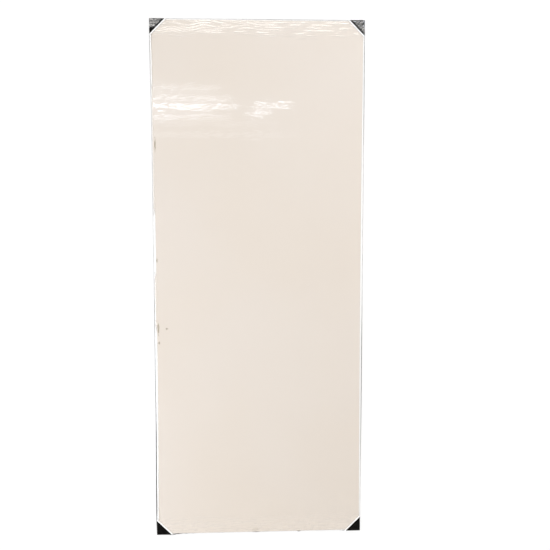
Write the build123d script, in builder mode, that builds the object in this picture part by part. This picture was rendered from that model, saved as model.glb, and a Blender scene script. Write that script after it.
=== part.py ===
"""A tongue-and-groove PVC wall panel as it is sold: four corner protectors and a clear shrink film.

The panel lies on its back with the decor face up. X runs across the panel from the tongue edge to
the groove edge, Y runs along its length, and Z = 0 is the underside of the film.
"""

import os

from build123d import *

# Panel: one hollow extrusion, sawn square at both ends
cover_width = 1000.0
panel_length = 2500.0
panel_thickness = 10.0
skin_thickness = 1.1
web_thickness = 0.8
cell_pitch = 11.0
edge_wall = 2.0
face_arris_radius = 0.5

# Joint along the two long edges
tongue_length = 6.0
tongue_thickness = 3.2
tongue_nose_chamfer = 0.7
joint_side_clearance = 0.2
joint_end_clearance = 1.0
groove_mouth_chamfer = 0.4

# Corner protector: a moulded triangular pocket
protector_leg = 72.0
protector_edge_wall = 3.0
protector_cheek = 2.0
protector_corner_radius = 3.0
protector_tip_radius = 1.2
protector_outer_round = 0.6
protector_relief_radius = 1.2
protector_mouth_chamfer = 0.5
protector_cheek_clearance = 0.15
protector_slack = 2.5

# Shrink film
film_thickness = 0.05
film_clearance = 0.02
film_edge_sag = 1.5

# Levels, from the underside of the film upwards
film_growth = film_clearance + film_thickness
protector_bottom = film_growth
protector_gap = panel_thickness + 2 * protector_cheek_clearance
protector_height = protector_gap + 2 * protector_cheek
panel_middle = protector_bottom + protector_height / 2

# Places across the panel, with X = 0 halfway between the tongue's nose and the groove's mouth
overall_width = cover_width + tongue_length
nose_x = -overall_width / 2
face_left = nose_x + tongue_length
face_right = overall_width / 2
groove_depth = tongue_length + joint_end_clearance
groove_height = tongue_thickness + 2 * joint_side_clearance

# Cells fill the width between the tongue's root and the groove's floor
cells_left = face_left + edge_wall
cells_right = face_right - groove_depth - edge_wall
cells_width = cells_right - cells_left
cell_count = int((cells_width + web_thickness) // cell_pitch)
cell_step = (cells_width + web_thickness) / cell_count
cell_width = cell_step - web_thickness
cell_height = panel_thickness - 2 * skin_thickness

# The section is drawn across the panel at mid-length, seen from the panel's foot
section_plane = Plane(origin=(0, 0, panel_middle), x_dir=(1, 0, 0), z_dir=(0, -1, 0))

# The protectors' outer corners stand off the panel by the slack and the edge wall
corner_x = overall_width / 2 + protector_slack + protector_edge_wall
corner_y = panel_length / 2 + protector_slack + protector_edge_wall

# Each protector's plane stands on its outer corner, with X and Y along its two legs
protector_planes = {
    "top_right": Plane(origin=(corner_x, corner_y, protector_bottom), x_dir=(-1, 0, 0)),
    "top_left": Plane(origin=(-corner_x, corner_y, protector_bottom), x_dir=(0, -1, 0)),
    "bottom_left": Plane(origin=(-corner_x, -corner_y, protector_bottom), x_dir=(1, 0, 0)),
    "bottom_right": Plane(origin=(corner_x, -corner_y, protector_bottom), x_dir=(0, 1, 0)),
}


# Wall panel: two skins held apart by webs, with a tongue on one edge and a groove in the other
with BuildPart() as wall_panel:
    with BuildSketch(section_plane) as section:
        with Locations(((face_left + face_right) / 2, 0)):
            Rectangle(cover_width, panel_thickness)
        fillet(section.vertices(), face_arris_radius)

        with Locations((nose_x, 0)):
            Rectangle(tongue_length + edge_wall, tongue_thickness, align=(Align.MIN, Align.CENTER))
        chamfer(section.vertices().group_by(Axis.X)[0], tongue_nose_chamfer)

        with Locations((face_right, 0)):
            Rectangle(groove_depth, groove_height, align=(Align.MAX, Align.CENTER), mode=Mode.SUBTRACT)
        groove_edge = section.vertices().group_by(Axis.X)[-1].sort_by(Axis.Y)
        chamfer(groove_edge[1:-1], groove_mouth_chamfer)

        with Locations(((cells_left + cells_right) / 2, 0)):
            with GridLocations(cell_step, cell_height, cell_count, 1):
                Rectangle(cell_width, cell_height, mode=Mode.SUBTRACT)
    extrude(amount=panel_length / 2, both=True)
wall_panel.part.label = "wall_panel"


# Cheek outline: a right-angled triangle with a rounded corner and blunt tips
with BuildSketch() as cheek:
    Polygon((0, 0), (protector_leg, 0), (0, protector_leg), align=None)
    fillet(cheek.vertices().sort_by_distance((0, 0))[1:], protector_tip_radius)
    fillet(cheek.vertices().sort_by_distance((0, 0))[0], protector_corner_radius)

# Corner protectors: two cheeks joined by two edge walls, open along the hypotenuse
protectors = {}
for corner, plane in protector_planes.items():
    with BuildPart() as protector:
        with BuildSketch(plane):
            add(cheek.sketch)
        extrude(amount=protector_height)
        fillet(protector.faces().sort_by(Axis.Z)[0].edges(), protector_outer_round)
        fillet(protector.faces().sort_by(Axis.Z)[-1].edges(), protector_outer_round)

        with BuildSketch(plane.offset(protector_cheek)):
            with Locations((protector_edge_wall, protector_edge_wall)):
                Rectangle(protector_leg, protector_leg, align=Align.MIN)
                Circle(protector_relief_radius)
        extrude(amount=protector_gap, mode=Mode.SUBTRACT)

        long_edges = protector.edges().filter_by(lambda edge: edge.length > protector_leg)
        mouth_edges = [edge for edge in long_edges if 0 < edge.center().Z - plane.origin.Z < protector_height]
        chamfer(mouth_edges, protector_mouth_chamfer)
    protector.part.label = f"corner_protector_{corner}"
    protectors[protector.part.label] = protector.part


# Between the protectors the film's welded edge is drawn in a little, and clears the tongue
film_edge_x = corner_x - film_edge_sag

# Shrink film: a closed bag drawn tight over the panel and its protectors
film_faces = ((film_growth, Mode.ADD), (film_clearance, Mode.SUBTRACT))
with BuildPart() as shrink_film:
    for growth, mode in film_faces:
        with BuildSketch(section_plane):
            with Locations(((face_left + face_right) / 2, 0)):
                Rectangle(cover_width, panel_thickness)
            Rectangle(2 * film_edge_x, tongue_thickness)
            make_hull()
            offset(amount=growth, kind=Kind.INTERSECTION)
        extrude(amount=panel_length / 2 + growth, both=True, mode=mode)

        for plane in protector_planes.values():
            with BuildSketch(plane.offset(-growth)):
                add(cheek.sketch)
                offset(amount=growth, kind=Kind.INTERSECTION)
            extrude(amount=protector_height + 2 * growth, mode=mode)
shrink_film.part.label = "shrink_film"


os.makedirs("parts", exist_ok=True)
for piece in (wall_panel.part, *protectors.values(), shrink_film.part):
    export_step(piece, f"parts/{piece.label}.step")
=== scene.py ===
"""A gloss PVC wall panel as it is sold: a black protector on each corner and clear shrink film round it.

The panel lies on its back with the decor face up. X runs across it from the tongue edge to the groove
edge, Y runs along it to its top end, and Z = 0 is the underside of the film. Lengths are in metres.
"""

import math

import bpy
import numpy as np
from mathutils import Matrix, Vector, noise


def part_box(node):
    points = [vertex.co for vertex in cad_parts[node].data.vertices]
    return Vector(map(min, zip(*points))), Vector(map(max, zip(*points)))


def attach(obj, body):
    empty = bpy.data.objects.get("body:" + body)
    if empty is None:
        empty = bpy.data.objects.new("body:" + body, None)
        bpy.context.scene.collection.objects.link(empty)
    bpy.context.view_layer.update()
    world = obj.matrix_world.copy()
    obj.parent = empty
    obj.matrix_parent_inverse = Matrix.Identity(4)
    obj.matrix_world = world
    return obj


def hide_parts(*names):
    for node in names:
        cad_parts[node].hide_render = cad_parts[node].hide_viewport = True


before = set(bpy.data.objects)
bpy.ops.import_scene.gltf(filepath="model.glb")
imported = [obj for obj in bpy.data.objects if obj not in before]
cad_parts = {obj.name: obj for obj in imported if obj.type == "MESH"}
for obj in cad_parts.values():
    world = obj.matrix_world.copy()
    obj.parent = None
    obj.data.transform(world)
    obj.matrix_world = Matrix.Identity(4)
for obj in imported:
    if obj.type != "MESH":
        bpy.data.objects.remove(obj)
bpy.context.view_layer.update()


# Wall panel: one hollow PVC extrusion, sawn square at both ends. A cream gloss decor is laminated on
# its face and laps on to the root of its tongue, and the rest of it is the bare white PVC.
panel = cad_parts["wall_panel"]
panel_low, panel_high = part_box("wall_panel")
middle_z = (panel_low.z + panel_high.z) / 2
tongue_length = 0.006
face_left = panel_low.x + tongue_length
face_right = panel_high.x
decor_depth = 0.0004
decor_lap = 0.0034
decor_lap_fade = 0.00034
web_pitch = 0.01112
web_ripple_height = 0.0000012
skin_wave_height = 0.00008
cream = (0.862, 0.792, 0.718, 1)
pale_cream = (0.868, 0.804, 0.740, 1)
bare_pvc = (0.95, 0.95, 0.94, 1)
gloss_roughness = 0.05
gloss_variation = 0.04
rub_brown = (0.27, 0.21, 0.11, 1)
rub_raggedness = 5
rub_roughness = 0.3

# Rub marks along the tongue edge, and a faint smudge at the foot
rub_marks = (
    # place across and along the panel, half width, half length, strength
    (face_left + 0.007, 0.670, 0.004, 0.034, 0.70),
    (face_left + 0.008, 0.119, 0.004, 0.012, 0.70),
    (face_left + 0.010, -0.217, 0.005, 0.032, 0.70),
    (face_left + 0.013, -0.286, 0.004, 0.008, 0.70),
    (face_left + 0.051, -0.218, 0.006, 0.006, 0.70),
    (-0.016, -1.238, 0.022, 0.009, 0.22),
)


class Wire:
    """A value in a material's node tree. Arithmetic on wires adds the Math nodes that work it out."""

    def __init__(self, tree, socket=None):
        self.tree = tree
        self.socket = socket

    def node(self, kind, settings=(), sockets=(), output=0):
        """Adds a node, sets it up, gives its sockets their values or links, and returns one output."""
        node = self.tree.nodes.new("ShaderNode" + kind)
        for name, value in dict(settings).items():
            setattr(node, name, value)
        for name, value in dict(sockets).items():
            if isinstance(value, Wire):
                self.tree.links.new(value.socket, node.inputs[name])
            else:
                node.inputs[name].default_value = value
        return Wire(self.tree, node.outputs[output] if node.outputs else None)

    def math(self, operation, *values):
        return self.node("Math", {"operation": operation}, dict(enumerate(values)))

    def __add__(self, other):
        return self.math("ADD", self, other)

    def __sub__(self, other):
        return self.math("SUBTRACT", self, other)

    def __rsub__(self, other):
        return self.math("SUBTRACT", other, self)

    def __mul__(self, other):
        return self.math("MULTIPLY", self, other)

    def __truediv__(self, other):
        return self.math("DIVIDE", self, other)

    def __abs__(self):
        return self.math("ABSOLUTE", self)

    __radd__ = __add__
    __rmul__ = __mul__

    def either(self, other):
        return self.math("MAXIMUM", self, other)

    def axes(self):
        """The X, Y and Z of a vector."""
        return [self.node("SeparateXYZ", (), {"Vector": self}, axis) for axis in "XYZ"]

    def step(self, start, end):
        """Rises smoothly from 0 to 1 as the value goes from start to end, which may lie below it."""
        sockets = {"Value": self, "From Min": min(start, end), "From Max": max(start, end)}
        rise = self.node("MapRange", {"interpolation_type": "SMOOTHSTEP"}, sockets)
        return rise if start < end else 1 - rise

    def colour(self, first, second):
        """The first colour where the value is 0, and the second where it is 1."""
        return self.node("Mix", {"data_type": "RGBA"}, {0: self, 6: first, 7: second}, 2)

    def grain(self, stretch, detail=2.0):
        """Noise on a place, with stretch cells to the metre along each axis."""
        spread = self.node("Mapping", (), {"Vector": self, "Scale": stretch})
        return self.node("TexNoise", (), {"Vector": spread, "Scale": 1.0, "Detail": detail})

    def bump(self, height):
        """The surface's normal, tilted by a height in metres."""
        return self.node("Bump", (), {"Height": height, "Strength": 1.0, "Distance": 1.0})

    def plastic(self, colour, roughness, normal, **sockets):
        values = {"Base Color": colour, "Roughness": roughness, "Normal": normal, **sockets}
        return self.node("BsdfPrincipled", (), values)


def new_finish(name):
    """An empty material, a wire into its node tree and the wire of its Object coordinates."""
    material = bpy.data.materials.new(name)
    material.use_nodes = True
    material.node_tree.nodes.clear()
    finish = Wire(material.node_tree)
    return material, finish, finish.node("TexCoord", output="Object")


def dress(piece, material):
    """Gives a piece one material, in place of what it had."""
    piece.data.materials.clear()
    piece.data.materials.append(material)


gloss_pvc, finish, place = new_finish("gloss_pvc_decor")
x, y, z = place.axes()
lap_end = face_left - decor_lap
on_face = z.step(panel_high.z - 2 * decor_depth, panel_high.z - decor_depth)
on_face = on_face * x.step(face_left - decor_depth, face_left)
on_tongue = x.step(face_left + decor_depth, face_left) * x.step(lap_end, lap_end + decor_lap_fade)
on_face = on_face.either(on_tongue * z.step(middle_z, middle_z + decor_depth))
decor = place.grain((1.3, 1.1, 1)).step(0.35, 0.65).colour(cream, pale_cream)

ragged = (place.grain((260, 160, 1), 3.0) - 0.5) * rub_raggedness
rubbed = 0.0
for across, along, half_width, half_length, strength in rub_marks:
    aside = (x - across) / half_width
    ahead = (y - along) / half_length
    mark = (aside * aside + ahead * ahead + ragged).step(0.9, 0.2)
    rubbed = (mark * strength).either(rubbed)
decor = rubbed.colour(decor, rub_brown)

webs = (x * (math.tau / web_pitch)).math("COSINE") * web_ripple_height
waves = place.grain((7, 3, 1)) * skin_wave_height
shine = gloss_roughness + gloss_variation * place.grain((30, 30, 30)) + rub_roughness * rubbed
pvc = finish.plastic(on_face.colour(bare_pvc, decor), shine, finish.bump(webs + waves))
finish.node("OutputMaterial", (), {"Surface": pvc})
dress(panel, gloss_pvc)


# Corner protectors: four pockets moulded in black polypropylene, pushed over the panel's corners and
# held there by the film. The moulded skin has a fine grain and is a little dusty from handling.
moulded_black = (0.002, 0.002, 0.0022, 1)
dusty_black = (0.007, 0.0068, 0.0065, 1)
moulded_roughness = 0.42
dust_roughness = 0.25
moulded_specular = {"Specular IOR Level": 0.1}
moulded_grain_height = 0.00006

black_plastic, finish, place = new_finish("moulded_black_plastic")
dust = place.grain((60, 60, 60), 4.0).step(0.45, 0.75)
skin = finish.bump(place.grain((1500, 1500, 1500)) * moulded_grain_height)
shine = moulded_roughness + dust_roughness * dust
moulding = finish.plastic(dust.colour(moulded_black, dusty_black), shine, skin, **moulded_specular)
finish.node("OutputMaterial", (), {"Surface": moulding})
for name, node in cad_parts.items():
    if name.startswith("corner_protector"):
        dress(node, black_plastic)


# Shrink film: a clear polyethylene bag of two sheets, welded to each other along the bag's edge and
# shrunk tight with heat. It is flat on the panel, tented at the protectors and crinkled at its ends.
film_columns = 240
film_rows = 204
top_band_rows = 104
bottom_band_rows = 38
top_band_depth = 0.120
bottom_band_depth = 0.110
edge_column_share = 0.4
rim_cells = 3
rim_curve = 1.8
film_gap = 0.00009
end_gap = 0.0004
film_lead = 0.045
protector_leg = 0.072
tent_reach = 0.014
tent_curve = 1.6
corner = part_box("corner_protector_top_right")[1]
panel_end = panel_high.y
panel_rise = panel_high.z - middle_z + film_gap
pad_rise = corner.z - middle_z + film_gap

# The left edge is -1 and the right edge 1. At mid-length the bag's edge is drawn in on the left and
# stands out a little on the right, and it has a narrow fin at the lower left.
face_edge = {-1: -face_left, 1: face_right}
edge_sag = {-1: 0.0035, 1: -0.0008}
sag_run = 0.45
seam_lift = 0.0046
fin_width = 0.0008
fin_start = 0.6
fin_run = 0.4


def ease(share):
    """Goes smoothly from 0 to 1 as the share does."""
    share = np.clip(share, 0, 1)
    return share * share * (3 - 2 * share)


def shoulder_x(y, side):
    """Where the film turns down over the panel's long edge, or over a protector's outer side."""
    on_protector = ease((np.abs(y) - (corner.y - protector_leg - film_lead)) / film_lead)
    return face_edge[side] + (corner.x - face_edge[side]) * on_protector


def shoulder_y(x):
    """Where the film turns down over the panel's end, or over a protector's end."""
    on_protector = ease((np.abs(x) - (corner.x - protector_leg - film_lead)) / film_lead)
    return panel_end + (corner.y - panel_end) * on_protector


def seam_x(y, side):
    """How far out the bag's edge runs from protector to protector."""
    fin = fin_width * ease((-y - fin_start) / fin_run) * (side < 0)
    sag = edge_sag[side] * ease((corner.y - protector_leg - np.abs(y)) / sag_run)
    return corner.x + film_gap + fin - sag


def seam_y(x, y):
    """How far out the bag's end runs: straight at the top, tight on the panel at the foot."""
    return np.where(y > 0, corner.y + film_gap, shoulder_y(x) + end_gap)


def seam_z(x, y):
    """How high the bag's edge runs: near the face on the right and at the foot, or else mid-height."""
    on_right = ease((x - face_right + film_lead) / film_lead)
    at_foot = ease((-y - panel_end + film_lead) / film_lead) * ease((x - face_left) / film_lead)
    return middle_z + seam_lift * np.maximum(on_right, at_foot)


def rumple(x, y, length, width, seed):
    """Noise whose waves are about that long and wide."""
    return np.array([noise.noise((a / length, b / width, seed)) for a, b in zip(x, y)])


# The two sheets start as one flat grid and its copy, two units square
bpy.ops.object.select_all(action="DESELECT")
bpy.ops.mesh.primitive_grid_add(x_subdivisions=film_columns, y_subdivisions=film_rows, size=2)
film = bpy.context.object
film.name = "shrink_film_bag"
bpy.ops.object.mode_set(mode="EDIT")
bpy.ops.mesh.duplicate()
bpy.ops.mesh.flip_normals()
bpy.ops.transform.translate(value=(0, 0, -1))
bpy.ops.object.mode_set(mode="OBJECT")

points = np.empty(len(film.data.vertices) * 3)
film.data.vertices.foreach_get("co", points)
across, along, sheet = points.reshape(-1, 3).T
upper = sheet > -0.5
side = np.where(across > 0, 1, -1)
end = np.where(along > 0, 1, -1)

# The outermost cells are the rim, from the shoulder down to the seam
rim_across = 2 * rim_cells / film_columns
rim_along = 2 * rim_cells / film_rows
over_side = np.clip((np.abs(across) - (1 - rim_across)) / rim_across, 0, 1)
over_end = np.clip((np.abs(along) - (1 - rim_along)) / rim_along, 0, 1)
across = np.clip(np.abs(across) / (1 - rim_across), 0, 1)
along = np.clip(along / (1 - rim_along), -1, 1)

# Columns are closer near the long edges, and rows much closer near the ends, where the film crinkles
across = (1 - edge_column_share) * across + edge_column_share * np.sin(across * math.pi / 2)
row_stops = (-1, -1 + 2 * bottom_band_rows / film_rows, 1 - 2 * top_band_rows / film_rows, 1)
row_places = (-panel_end, bottom_band_depth - panel_end, panel_end - top_band_depth, panel_end)
row_y = np.interp(along, row_stops, row_places)
out_x = np.where(side > 0, shoulder_x(row_y, 1), shoulder_x(row_y, -1))
x = side * across * out_x
out_y = shoulder_y(x)
y = row_y * out_y / panel_end
x += side * over_side * (np.where(side > 0, seam_x(y, 1), seam_x(y, -1)) - out_x)
y += end * over_end * (seam_y(x, y) - out_y)
rim = np.maximum(over_side, over_end)

# Tents run from each protector's long edge down to the panel
off_protector = (corner.x - np.abs(x) + corner.y - np.abs(y) - protector_leg) / math.sqrt(2)
tent = np.clip(1 - np.maximum(off_protector, 0) / tent_reach, 0, 1) ** tent_curve
rise = panel_rise + (pad_rise - panel_rise) * tent

# Pleats have a long gentle side towards the top, and are broken into runs. They lie across the top end,
# where they are shorter and closer to each other on the left.
gentle_share = 0.7
run_contrast = 2
noise_row_step = 2.7
change_start = -0.15
change_run = 0.35
left_wander = 1.2
right_wander = 0.4
left_pitch = 0.0104
right_pitch = 0.0118
left_height = 0.0014
right_height = 0.00122
left_reach = 0.058
right_reach = 0.070
reach_fade = 0.018
stray_share = 0.5
stray_reach = 0.080
stray_fade = 0.030
stray_contrast = 1.6


def pleats(along, phase, run_length, standing, seed):
    """The heights, 0 to 1, of pleats that the phase counts. Standing says how much of them rises."""
    pleat = np.floor(phase)
    phase = phase - pleat
    gentle_side = ease(phase / gentle_share)
    steep_side = ease((1 - phase) / (1 - gentle_share))
    fold = np.where(phase < gentle_share, gentle_side, steep_side)
    runs = rumple(along, pleat * noise_row_step, run_length, 1, seed)
    return fold * ease(standing + run_contrast * runs)


depth = corner.y - y
to_right = ease((x - change_start) / change_run)
wander = left_wander + (right_wander - left_wander) * to_right
pitch = left_pitch + (right_pitch - left_pitch) * to_right
phase = depth / pitch + wander * rumple(x, y, length=0.09, width=0.06, seed=5.1)
left_pleats = left_height * pleats(x, phase, run_length=0.050, standing=1.00, seed=9.7)
right_pleats = right_height * pleats(x, phase, run_length=0.060, standing=0.52, seed=41.9)
top_pleats = left_pleats + (right_pleats - left_pleats) * to_right
reach = left_reach + (right_reach - left_reach) * to_right
stray = stray_share * (1 - ease((depth - stray_reach) / stray_fade))
stray *= ease(stray_contrast * rumple(x, y, length=0.09, width=0.03, seed=17.5))
top_band = np.where(y > 0, np.maximum(1 - ease((depth - reach) / reach_fade), stray), 0)

# On the top protectors' cheeks the film is loose: pleats lie across the left one, near its end, and
# square to the long edge of the right one
cheek_border = 0.004
cheek_fade = 0.006
left_loose_reach = 0.036
left_loose_fade = 0.010
left_cheek_pitch = 0.0135
right_cheek_pitch = 0.019
left_cheek_height = 0.0020
right_cheek_height = 0.0024
cheek_wander = 0.4

drift = cheek_wander * rumple(x, y, length=0.030, width=0.020, seed=38.1)
left_phase = depth / left_cheek_pitch + drift
right_phase = (x - y) / right_cheek_pitch + drift
left_loose = (x < 0) * (1 - ease((depth - left_loose_reach) / left_loose_fade))
left_cheek = left_loose * pleats(x, left_phase, run_length=0.080, standing=1.20, seed=61.8)
right_cheek = pleats(off_protector, right_phase, run_length=0.030, standing=1.00, seed=47.3)
right_cheek *= ease((depth - cheek_border) / cheek_fade)
loose = np.where(y > 0, ease((-off_protector - cheek_border) / cheek_fade), 0)
cheek_pleats = loose * np.where(x < 0, left_cheek_height * left_cheek, right_cheek_height * right_cheek)

# Small crests break the pleats up, lie faintly across the foot and stand square to the protectors
crest_sway = 0.010
top_band_border = 0.004
foot_band_border = 0.010
short_crest_height = 0.0004
foot_crest_height = 0.0007
foot_reach = 0.055
foot_fade = 0.055
pucker_height = 0.0006
pucker_reach = 0.020
foot_pucker_share = 0.2
lower_sheet_share = 0.5


def crest(waves, sharpness):
    """Turns noise into narrow crests, along the lines where it passes zero."""
    return (1 - np.minimum(np.abs(waves) * sharpness, 1)) ** 2


swayed_y = y + crest_sway * rumple(x, y, length=0.10, width=0.08, seed=1.3)
short_crests = crest(rumple(x, swayed_y, length=0.030, width=0.008, seed=14.2), sharpness=2.5)
foot_crests = crest(rumple(x, swayed_y, length=0.060, width=0.009, seed=21.4), sharpness=2.4)
foot_band = np.where(y < 0, 1 - ease((corner.y + y - foot_reach) / foot_fade), 0)
foot_band *= ease(off_protector / foot_band_border)
along_edge = (np.abs(x) - np.abs(y)) / math.sqrt(2)
puckers = crest(rumple(along_edge, off_protector, length=0.011, width=0.060, seed=27.8), sharpness=2.5)
puckers *= np.exp(-np.maximum(off_protector, 0) / pucker_reach) * (off_protector > 0)
puckers *= np.where(y > 0, 1.0, foot_pucker_share)

top_band *= ease(off_protector / top_band_border)
crinkle = top_band * (top_pleats + short_crest_height * short_crests)
crinkle += cheek_pleats + foot_crest_height * foot_band * foot_crests + pucker_height * puckers
crinkle *= np.where(upper, 1, lower_sheet_share)
rise += crinkle * (1 - rim)
z = middle_z + np.where(upper, 1, -1) * rise
z += (seam_z(x, y) - z) * rim ** rim_curve
z = np.maximum(z, middle_z - pad_rise)

# Painted highlights on the crinkles: the film's material whitens the creases, and puts a painted sheen
# on the loose film over the top protectors
full_highlight_crinkle = 0.0016
left_cheek_sheen = 0.5
right_cheek_sheen = 0.1
loose_film_sheen = loose * np.where(x < 0, left_cheek_sheen * left_loose, right_cheek_sheen)
crease_highlight = np.clip(crinkle / full_highlight_crinkle + loose_film_sheen, 0, 1)

points = np.stack((x, y, z), axis=1)
film.data.vertices.foreach_set("co", points.ravel())
film.data.attributes.new("crease_highlight", "FLOAT", "POINT").data.foreach_set("value", crease_highlight)
film.data.attributes.new("rim", "FLOAT", "POINT").data.foreach_set("value", rim)
bpy.ops.object.mode_set(mode="EDIT")
bpy.ops.mesh.select_all(action="SELECT")
bpy.ops.mesh.remove_doubles(threshold=0.000001)
bpy.ops.object.mode_set(mode="OBJECT")
bpy.ops.object.shade_smooth()

# The white that the film's painted highlights are mixed with
highlight_white = (0.98, 0.98, 0.98, 1)
film_mirror = (1, 1, 1, 1)
film_gloss = 0.08
film_glare = 0.6
mirror_roughness = 0.03
highlight_roughness = 0.25
film_ripple_height = 0.00016
# How strongly the crests and the bag's rim are painted with white highlights
crease_highlight_share = 0.22
rim_highlight = 0.25
# Painted highlight: a white line along each protector's long edge, this wide
protector_highlight_width = 0.0064
protector_highlight_fade = (protector_highlight_width * 0.55, protector_highlight_width * 0.42)
# Painted highlight: white strips along the panel's long edges, weaker in the listed gaps on the left
long_edge_highlight_share = 0.95
long_edge_highlight_reach = 0.005
long_edge_highlight_blur = 0.0005
long_edge_highlight_inset = 0.004
inset_fall = 0.003
left_outset_rise = 0.0024
left_extra_reach = 0.0025
highlight_gap_loss = 0.8
highlight_gaps = (
    # where each begins and is full, and where it ends and was full, along the panel
    ((-0.26, -0.18), (0.07, 0.03)),
    ((0.32, 0.38), (0.98, 0.92)),
)

# Ripples break up what the film mirrors: finely on the left, in longer strokes from there to the right
clear_film, finish, place = new_finish("clear_shrink_film")
x, y, _ = place.axes()
fine_ripple = 0.5 * place.grain((18, 36, 100)) + 0.7 * place.grain((30, 62, 100))
long_ripple = 1.6 * place.grain((16, 36, 1)) + 0.3 * place.grain((34, 70, 1))
past_left = x.step(-0.10, -0.06)
ripple = 0.35 * place.grain((6, 10, 1)) + fine_ripple + (long_ripple - fine_ripple) * past_left
tilt = finish.bump(ripple * film_ripple_height)
facing = finish.node("LayerWeight", (), {"Normal": tilt}, "Facing")
gloss = film_gloss + film_glare * facing.math("POWER", facing, 5)
mirror = finish.plastic(film_mirror, mirror_roughness, tilt, Metallic=1.0)
clear = finish.node("MixShader", (), {0: gloss, 1: finish.node("BsdfTransparent"), 2: mirror})

# Painted highlights: white lines along the protectors' long edges and white strips along the panel's
# long edges, left off in two stretches on the left
off_protector = (corner.x + corner.y - protector_leg - abs(x) - abs(y)) / math.sqrt(2)
protector_edge_highlight = abs(off_protector - protector_highlight_width / 2).step(*protector_highlight_fade)
off_corner = off_protector.step(0, 0.01)
on_left = x.step(0, -0.1)
highlight_gap = 0.0
for lower_end, upper_end in highlight_gaps:
    highlight_gap = (y.step(*lower_end) * y.step(*upper_end)).either(highlight_gap)
# Painted highlight strips just outside the panel's long edges
beyond = (x - face_right).either(face_left - x)
inset = (long_edge_highlight_inset - inset_fall * y * y).either(0) - on_left * (left_outset_rise * y * y)
long_edge_highlight = (beyond + inset).step(-long_edge_highlight_blur, long_edge_highlight_blur)
outer_side = beyond - left_extra_reach * on_left
long_edge_highlight = long_edge_highlight * outer_side.step(long_edge_highlight_reach + long_edge_highlight_blur, long_edge_highlight_reach - long_edge_highlight_blur)
long_edge_highlight = long_edge_highlight * off_corner * (1 - highlight_gap_loss * on_left * highlight_gap)

# Painted highlights: white mixed into the clear film on the crests, the loose film over the top
# protectors, the rim and the edge lines
crest_highlight = finish.node("Attribute", {"attribute_name": "crease_highlight"}, (), "Fac")
rim = finish.node("Attribute", {"attribute_name": "rim"}, (), "Fac")
painted_highlight = crease_highlight_share * crest_highlight + rim_highlight * rim * off_corner
painted_highlight = painted_highlight.either(protector_edge_highlight).either(long_edge_highlight_share * long_edge_highlight)
highlight_shader = finish.plastic(highlight_white, highlight_roughness, tilt)
wrapped = finish.node("MixShader", (), {0: painted_highlight, 1: clear, 2: highlight_shader})
finish.node("OutputMaterial", (), {"Surface": wrapped})
dress(film, clear_film)
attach(film, "root")
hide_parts("shrink_film")


# Weld bead: the thread of melted film along the bag's edge, where the two sheets were cut and welded by
# one hot wire. Its near-black colour is painted shade, a dark line for the shadow along the bag's edge:
# thick and smoky in the listed stretches, and hardly showing elsewhere.
bead_step = 0.012
bead_radius = 0.0005
thinnest_share = 0.6
lump_share = 0.8
dark_line_taper = 1.5
# Painted shade: the bead's near-black colour
bead_painted_shade = (0.034, 0.030, 0.027, 1)
melted_roughness = 0.3
shade_patch_roughness = 0.2
melted_bump_height = 0.0003
bead_shade_cover = 0.55
shade_patch_cover = 0.4
# Painted shade: stretches where the bead is thickened into a dark line
dark_line_stretches = (
    # place on the edge, half length, extra radius
    (-0.505, -0.98, 0.36, 0.0021),
    (-0.507, -0.67, 0.20, 0.0007),
    (-0.505, -0.42, 0.45, 0.0008),
    (0.508, -0.45, 0.50, 0.0010),
    (0.200, 1.256, 0.40, 0.0004),
    (-0.507, 1.10, 0.14, 0.0003),
    (0.508, 0.95, 0.36, 0.0008),
    (-0.016, -1.250, 0.020, 0.0010),
    (0.201, -1.250, 0.010, 0.0018),
    (-0.415, -1.252, 0.035, 0.0012),
    (-0.362, -1.250, 0.010, 0.0006),
    (-0.328, -1.250, 0.008, 0.0006),
)

side_run = np.arange(-corner.y, corner.y, bead_step)
end_run = np.arange(-corner.x, corner.x, bead_step)
right_run = np.stack((seam_x(side_run, 1), side_run), axis=1)
left_run = np.stack((-seam_x(side_run, -1), side_run), axis=1)[::-1]
top_run = np.stack((end_run, seam_y(end_run, np.full_like(end_run, 1))), axis=1)[::-1]
bottom_run = np.stack((end_run, -seam_y(end_run, np.full_like(end_run, -1))), axis=1)
runs = (right_run, top_run, left_run, bottom_run)
route = np.concatenate(runs)

lumps = np.abs(rumple(*route.T, length=0.05, width=0.05, seed=3.3))
radius = bead_radius * (thinnest_share + lump_share * lumps)
for bead_x, bead_y, half_length, extra in dark_line_stretches:
    away = np.hypot(*(route - (bead_x, bead_y)).T)
    radius = radius + extra * ease(dark_line_taper * (1 - away / half_length))

# It lies against the panel's ends and the protectors' sides, and is moved out where it would lie in them
outward = np.repeat(((1, 0), (0, 1), (-1, 0), (0, -1)), [len(run) for run in runs], axis=0)
inner_end = np.array((corner.x, corner.y)) - protector_leg - bead_step
by_protector = (np.abs(route) > inner_end).all(axis=1, keepdims=True)
solid_edge = np.where(by_protector, (corner.x, corner.y), (panel_high.x, panel_end))
clearance = ((np.abs(route) - solid_edge) * np.abs(outward)).sum(axis=1)
route = route + outward * np.maximum(radius - clearance, 0)[:, None]

bead_line = bpy.data.curves.new("film_weld_bead", "CURVE")
bead_line.dimensions = "3D"
bead_line.bevel_depth = 1.0
bead_line.bevel_resolution = 1
spline = bead_line.splines.new("POLY")
spline.points.add(len(route) - 1)
spline.use_cyclic_u = True
for point, (bead_x, bead_y), point_radius in zip(spline.points, route, radius):
    point.co = (bead_x, bead_y, seam_z(bead_x, bead_y), 1)
    point.radius = point_radius
bead = bpy.data.objects.new("film_weld_bead", bead_line)
bpy.context.scene.collection.objects.link(bead)
bpy.ops.object.select_all(action="DESELECT")
bead.select_set(True)
bpy.context.view_layer.objects.active = bead
bpy.ops.object.convert(target="MESH")
bead = bpy.context.object
bpy.ops.object.shade_smooth()

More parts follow.
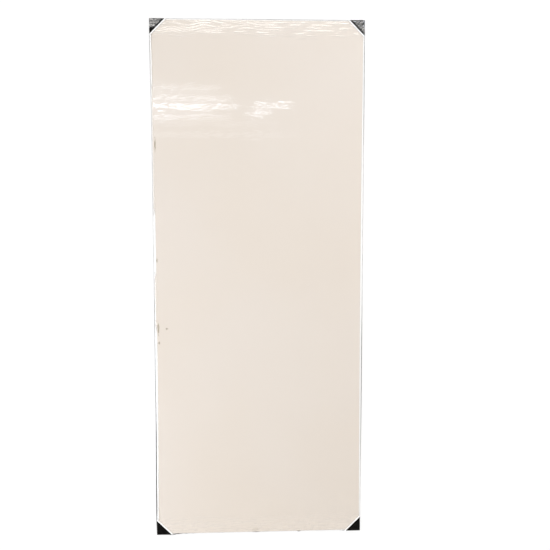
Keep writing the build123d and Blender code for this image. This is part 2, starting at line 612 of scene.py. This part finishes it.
# Painted shade: a near-black, partly clear coat with smoky patches
bead_shade_material, finish, place = new_finish("bead_painted_shade")
shade_patches = place.grain((70, 70, 70), 3.0).step(0.30, 0.62)
drops = finish.bump(place.grain((400, 400, 400)) * melted_bump_height)
strand = finish.plastic(bead_painted_shade, melted_roughness + shade_patch_roughness * shade_patches, drops)
cover = bead_shade_cover + shade_patch_cover * shade_patches
thread = finish.node("MixShader", (), {0: cover, 1: finish.node("BsdfTransparent"), 2: strand})
finish.node("OutputMaterial", (), {"Surface": thread})
dress(bead, bead_shade_material)
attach(bead, "root")


# Floor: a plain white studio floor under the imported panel. Sight and mirror rays see it as white, with
# the panel's shadow on it.
floor_size = 30
floor_drop = 0.0006
floor_white = (0.9, 0.9, 0.9, 1)
floor_roughness = 0.9
floor_grain_height = 0.00001
glow_white = (1, 1, 1, 1)
glow_strength = 1.05
glow_share = 0.85

bpy.ops.mesh.primitive_plane_add(size=floor_size, location=(0, 0, -floor_drop))
floor = bpy.context.object
floor.name = "studio_floor"
studio_floor, finish, place = new_finish("studio_floor")
seen = finish.node("LightPath", output="Is Camera Ray")
for ray in ("Is Glossy Ray", "Is Transmission Ray"):
    seen = seen.either(finish.node("LightPath", output=ray))
paper_grain = finish.bump(place.grain((900, 900, 900)) * floor_grain_height)
paper = finish.plastic(floor_white, floor_roughness, paper_grain)
glow = finish.node("Emission", (), {"Color": glow_white, "Strength": glow_strength})
backdrop = finish.node("MixShader", (), {0: seen * glow_share, 1: paper, 2: glow})
finish.node("OutputMaterial", (), {"Surface": backdrop})
dress(floor, studio_floor)


# Light: a pale room with a dim ceiling and a bright window wall past the panel's top end, a soft lamp on
# the left and one past the top right corner, and a ceiling fitting. The fitting's tubes are mirrored in
# the film near the top left.
room_light = 0.755
far_side_light = 0.35
ceiling_light = 0.03
window_light = 3.5

# Where the ceiling and the window wall begin and are full, as parts of a direction's length
ceiling_rim = (0.83, 0.92)
window_side = (0.36, 0.46)
window_sill = (0.67, 0.75)
window_jambs = (0.60, 0.50)

room_tint = (1.0, 0.927, 0.820, 1)
window_tint = (1.0, 0.97, 0.925, 1)
sight_white = (1, 1, 1, 1)
lamp_tint = (0.90, 0.99, 1.14)
soft_lamps = (
    # name, place, size, brightness and what it faces
    ("side_lamp", (-3.0, -1.2, 1.8), (2.0, 2.0), 5.80, (0, -0.6, 0)),
    ("top_lamp", (2.2, 2.4, 2.8), (2.0, 2.0), 5.40, (0, 0.4, 0)),
)
ceiling = 3.0
tubes = (
    # where each starts and ends across the panel, its place along the panel, width and brightness
    (-1.45, -0.14, 1.334, 0.014, 2.3),
    (-1.35, -0.10, 1.246, 0.016, 3.4),
    (-1.45, -0.05, 1.174, 0.022, 5.2),
    (-1.40, -0.12, 1.088, 0.015, 3.3),
    (-1.50, -0.22, 1.215, 0.320, 0.25),
    (0.04, 0.41, 1.186, 0.016, 5.6),
    (-0.03, 0.22, 1.120, 0.014, 4.8),
    (-1.50, 0.30, 1.035, 0.022, 0.5),
    (-1.50, 0.45, 0.945, 0.030, 0.5),
)

room = bpy.data.worlds.new("pale_room")
room.use_nodes = True
room.node_tree.nodes.clear()
finish = Wire(room.node_tree)
x, y, z = finish.node("TexCoord", output="Generated").axes()
overhead = z.step(*ceiling_rim)
window = y.step(*window_side) * z.step(*window_sill) * abs(x).step(*window_jambs)
walls = room_light + far_side_light * y
light = walls + (window_light - room_light) * window - (walls - ceiling_light) * overhead
lit = finish.node("Background", (), {"Color": window.colour(room_tint, window_tint), "Strength": light})
white = finish.node("Background", (), {"Color": sight_white, "Strength": 1.0})
seen = finish.node("LightPath", output="Is Camera Ray")
surroundings = finish.node("MixShader", (), {0: seen, 1: lit, 2: white})
finish.node("OutputWorld", (), {"Surface": surroundings})
bpy.context.scene.world = room


def hang_lamp(name, place, size, brightness, target=None):
    """A flat oval lamp of that brightness, facing the floor below it or a target."""
    lamp = bpy.data.lights.new(name, "AREA")
    lamp.shape = "ELLIPSE"
    lamp.size, lamp.size_y = size
    lamp.energy = brightness * math.pi * math.pi / 4 * size[0] * size[1]
    lamp.color = lamp_tint
    fitting = bpy.data.objects.new(name, lamp)
    fitting.location = place
    if target is not None:
        away = Vector(place) - Vector(target)
        fitting.rotation_euler = away.to_track_quat("Z", "Y").to_euler()
    bpy.context.scene.collection.objects.link(fitting)


for soft_lamp in soft_lamps:
    hang_lamp(*soft_lamp)
for number, (start, end, along, width, brightness) in enumerate(tubes):
    hang_lamp(f"tube_{number}", ((start + end) / 2, along, ceiling), (end - start, width), brightness)


# Camera: above the panel, a little to the left of its middle and towards its top end, and a few degrees
# off straight down, as the photograph looks at it.
camera_place = (-0.1171, 0.4252, 3.8823)
camera_turn = (-5.626, -2.936, -0.057)
sensor_width = 36
focal_length = 52.36

lens = bpy.data.cameras.new("camera")
lens.sensor_width = sensor_width
lens.lens = focal_length
camera = bpy.data.objects.new("camera", lens)
camera.location = camera_place
camera.rotation_euler = [math.radians(turn) for turn in camera_turn]
bpy.context.scene.collection.objects.link(camera)
bpy.context.scene.camera = camera
bpy.context.scene.view_settings.view_transform = "Standard"
